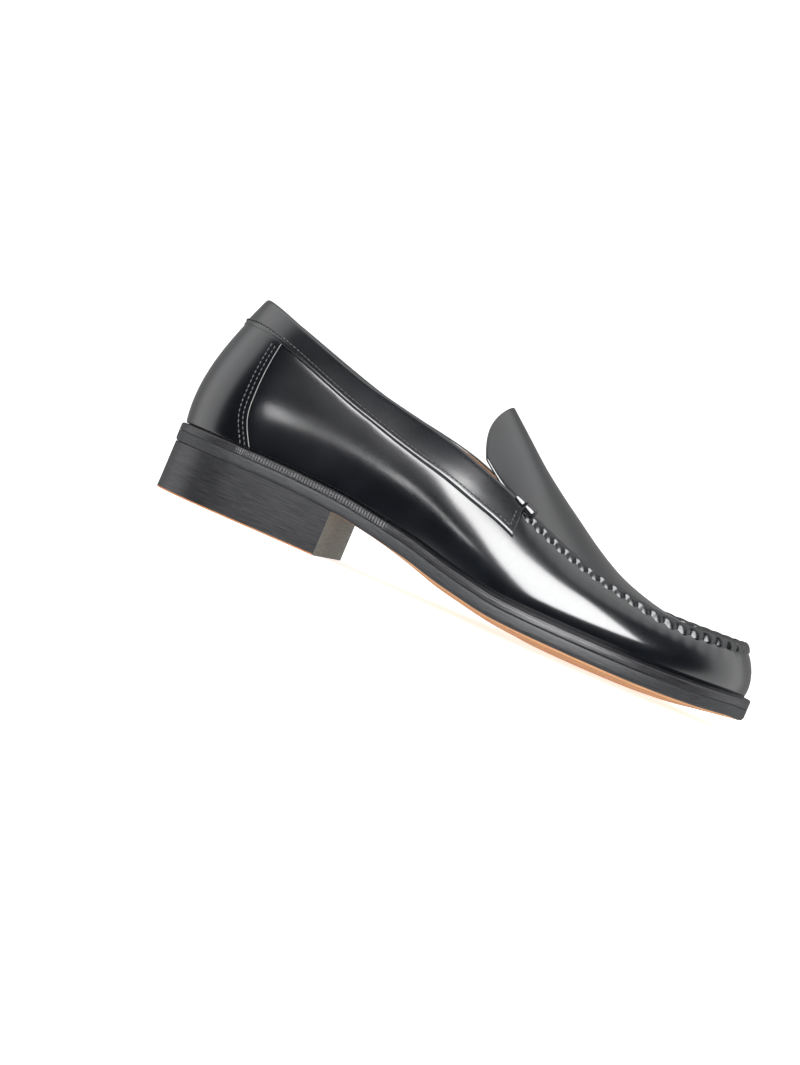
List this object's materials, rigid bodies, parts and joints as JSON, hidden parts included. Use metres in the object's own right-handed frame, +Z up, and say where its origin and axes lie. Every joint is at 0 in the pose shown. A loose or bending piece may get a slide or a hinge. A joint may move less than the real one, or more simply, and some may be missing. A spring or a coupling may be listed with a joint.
{
  "type": "loafer",
  "caption": "Black leather slip-on loafer for the right foot, with a raised moccasin seam round a long-tongued apron, a collar band, a leather sole and a stacked heel.",
  "frame": {"origin": "on the ground, under the middle of the shoe's bounding box", "axes": "+X from heel to toe, +Y to the inner side of the foot, +Z up"},
  "size_m": [0.2954, 0.103, 0.1026],
  "materials": {
    "polished_leather": "high-shine black box leather",
    "lining_leather": "tan lining leather, matt",
    "sole_leather": "natural tan sole leather with a black stained edge",
    "welt_leather": "black waxed edge",
    "heel_leather": "black stained stacked leather, waxed",
    "top_piece_leather": "dyed black round the edge, tan below",
    "board": "leather board",
    "cork": "granulated cork",
    "steel": "plain spring steel",
    "thread": "waxed black thread",
    "backing_cloth": "stiffened cotton"
  },
  "bodies": {
    "shoe": {"outsole": "sole_leather", "welt": "welt_leather", "shank": "steel", "cork_filler": "cork", "insole": "board", "sock_liner": "lining_leather", "top_piece": "top_piece_leather", "heel_lift_1": "heel_leather", "heel_lift_2": "heel_leather", "heel_lift_3": "heel_leather", "heel_lift_4": "heel_leather", "heel_lift_5": "heel_leather", "heel_nails": "steel", "vamp": "polished_leather", "counter_cover": "polished_leather", "collar_band": "polished_leather", "heel_stiffener": "board", "outer_backing": "backing_cloth", "inner_backing": "backing_cloth", "toe_puff": "backing_cloth", "quarter_lining": "lining_leather", "vamp_lining": "lining_leather", "collar_thread": "thread", "counter_threads": "thread", "apron_thread": "thread", "outer_roll": "polished_leather", "inner_roll": "polished_leather", "apron": "polished_leather", "apron_lining": "lining_leather"},
    "tongue": {"tongue": "polished_leather", "tongue_lining": "lining_leather"}
  },
  "joints": [
    {"name": "tongue_lift", "type": "hinge", "parent": "shoe", "child": "tongue", "pos_m": [0.0315, 0, 0.0725], "axis": [0, 1, 0], "range_deg": [0, 22], "stiffness_Nm_per_rad": 0.15}
  ]
}
